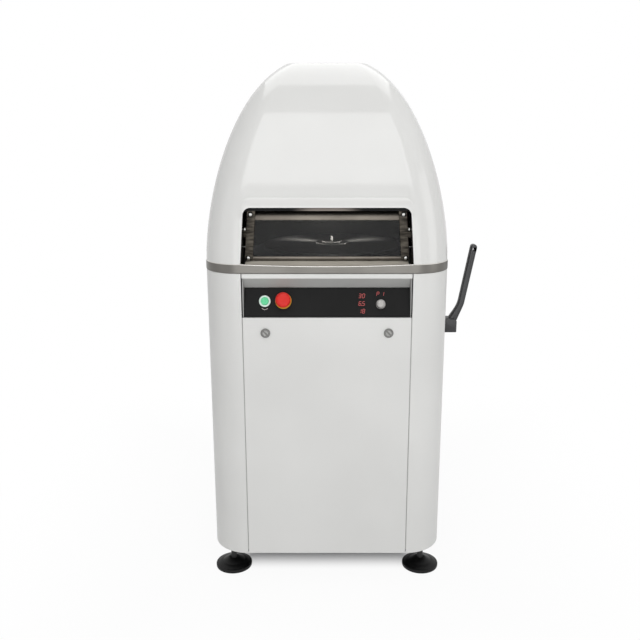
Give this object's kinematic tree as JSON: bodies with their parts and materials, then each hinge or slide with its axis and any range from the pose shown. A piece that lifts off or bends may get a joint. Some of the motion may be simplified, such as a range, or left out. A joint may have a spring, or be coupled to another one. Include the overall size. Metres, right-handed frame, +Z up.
{
  "type": "dough divider rounder",
  "caption": "Floor-standing bakery machine that presses, divides and rounds dough: rounded white cabinet, domed hood, smoked tilting guard, sloping control panel and hand lever.",
  "frame": {"origin": "on the floor, midway between the four feet, in the cabinet's middle plane", "axes": "+Z up, -Y towards the front with the control panel, +X to the right side with the hand lever as seen from the front"},
  "size_m": [0.7332, 0.731, 1.396],
  "materials": {
    "foot_black": "satin",
    "zinc_steel": "zinc plated",
    "stem_black": "black oxide",
    "frame_grey": "satin",
    "casing_white": "satin powder coat",
    "hood_white": "gloss",
    "band_steel": "brushed",
    "console_grey": "satin powder coat",
    "guard_steel": "brushed",
    "bright_steel": "polished",
    "liner_black": "matte",
    "smoked_window": "clear, smoked",
    "panel_black": "satin film",
    "display_red": "gloss",
    "bezel_white": "gloss",
    "start_green": "gloss",
    "collar_yellow": "satin",
    "stop_red": "gloss",
    "knob_silver": "satin",
    "lever_black": "satin",
    "bush_bronze": "turned",
    "shaft_steel": "ground",
    "chamber_steel": "brushed",
    "cast_aluminium": "machined",
    "cast_grey": "as cast",
    "motor_blue": "satin",
    "belt_rubber": "matte",
    "box_grey": "satin",
    "gland_black": "satin"
  },
  "bodies": {
    "machine": {"foot_discs": "foot_black", "rear_screws": "zinc_steel", "hood_brackets": "zinc_steel", "lock_keepers": "zinc_steel", "foot_stems": "stem_black", "foot_lock_nuts": "stem_black", "base_plate": "frame_grey", "support_frame": "frame_grey", "deck_plate": "frame_grey", "motor_plate": "frame_grey", "head_plate": "frame_grey", "left_side_panel": "casing_white", "right_side_panel": "casing_white", "rear_panel": "casing_white", "console_header": "casing_white", "hood": "hood_white", "hood_skirt": "hood_white", "belt_band": "band_steel", "entry_sill": "band_steel", "console_soffit": "console_grey", "console_cheeks": "console_grey", "guard_brackets": "guard_steel", "guard_stop_pins": "guard_steel", "opening_liner": "liner_black", "console_panel": "panel_black", "display_lenses": "display_red", "start_button_bezel": "bezel_white", "emergency_stop_collar": "collar_yellow", "lever_bush": "bush_bronze", "head_columns": "shaft_steel", "chamber_wall": "chamber_steel", "bearing_housing": "cast_grey", "press_cylinder": "cast_grey", "drive_motor": "motor_blue", "hydraulic_unit": "motor_blue", "drive_belt": "belt_rubber", "control_box": "box_grey", "cable_gland": "gland_black"},
    "door": {"front_door": "casing_white", "lock_housings": "bright_steel"},
    "left_lock": {"left_lock_core": "bright_steel"},
    "right_lock": {"right_lock_core": "bright_steel"},
    "guard": {"guard_rails": "guard_steel", "guard_window": "smoked_window", "guard_side_plates": "guard_steel", "guard_cap_nuts": "bright_steel", "guard_pivots": "guard_steel"},
    "lever": {"hand_lever": "lever_black", "lever_shaft": "shaft_steel"},
    "start_button": {"start_button": "start_green"},
    "emergency_stop": {"emergency_stop_head": "stop_red"},
    "knob": {"control_knob": "knob_silver"},
    "press": {"press_plate": "cast_aluminium"},
    "knives": {"knife_set": "chamber_steel"},
    "eccentric": {"eccentric_shaft": "shaft_steel", "table_pulley": "cast_grey"},
    "table": {"rounding_table": "cast_aluminium"},
    "idler": {"idler_crank": "shaft_steel"},
    "motor_drive": {"motor_pulley": "cast_grey"}
  },
  "joints": [
    {"name": "door_slide", "type": "slide", "parent": "machine", "child": "door", "axis": [0, -1, 0], "range_m": [0, 0.25]},
    {"name": "left_lock_turn", "type": "hinge", "parent": "door", "child": "left_lock", "pos_m": [-0.16, -0.345, 0.709], "axis": [0, -1, 0], "range_deg": [0, 90]},
    {"name": "right_lock_turn", "type": "hinge", "parent": "door", "child": "right_lock", "pos_m": [0.16, -0.345, 0.709], "axis": [0, 1, 0], "range_deg": [0, 90]},
    {"name": "guard_tilt", "type": "hinge", "parent": "machine", "child": "guard", "pos_m": [0, -0.285, 0.972], "axis": [-1, 0, 0], "range_deg": [0, 75]},
    {"name": "lever_pull", "type": "hinge", "parent": "machine", "child": "lever", "pos_m": [0.32, -0.17, 0.688], "axis": [1, 0, 0], "range_deg": [0, 75]},
    {"name": "start_press", "type": "slide", "parent": "machine", "child": "start_button", "axis": [0, 0.9336, -0.3584], "range_m": [0, 0.003], "stiffness_N_per_m": 800, "springref_m": -0.002},
    {"name": "stop_press", "type": "slide", "parent": "machine", "child": "emergency_stop", "axis": [0, 0.9336, -0.3584], "range_m": [0, 0.004], "stiffness_N_per_m": 2000, "springref_m": -0.002},
    {"name": "knob_turn", "type": "hinge", "parent": "machine", "child": "knob", "pos_m": [0.139, -0.33317, 0.78281], "axis": [0, -0.9336, 0.3584], "continuous": true},
    {"name": "press_stroke", "type": "slide", "parent": "machine", "child": "press", "axis": [0, 0, -1], "range_m": [0, 0.08]},
    {"name": "knife_stroke", "type": "slide", "parent": "machine", "child": "knives", "axis": [0, 0, -1], "range_m": [0, 0.08]},
    {"name": "eccentric_spin", "type": "hinge", "parent": "machine", "child": "eccentric", "pos_m": [0, -0.02, 0.7], "axis": [0, 0, 1], "continuous": true},
    {"name": "table_orbit", "type": "hinge", "parent": "eccentric", "child": "table", "pos_m": [0.014, -0.02, 0.89], "axis": [0, 0, 1], "continuous": true},
    {"name": "idler_spin", "type": "hinge", "parent": "machine", "child": "idler", "pos_m": [0, 0.1, 0.86], "axis": [0, 0, 1], "continuous": true},
    {"name": "motor_spin", "type": "hinge", "parent": "machine", "child": "motor_drive", "pos_m": [0, 0.19, 0.6], "axis": [0, 0, 1], "continuous": true}
  ],
  "couplings": [
    {"joint": "table_orbit", "follows": "eccentric_spin", "ratio": -1},
    {"joint": "idler_spin", "follows": "eccentric_spin", "ratio": 1},
    {"joint": "motor_spin", "follows": "eccentric_spin", "ratio": 3.1429}
  ]
}
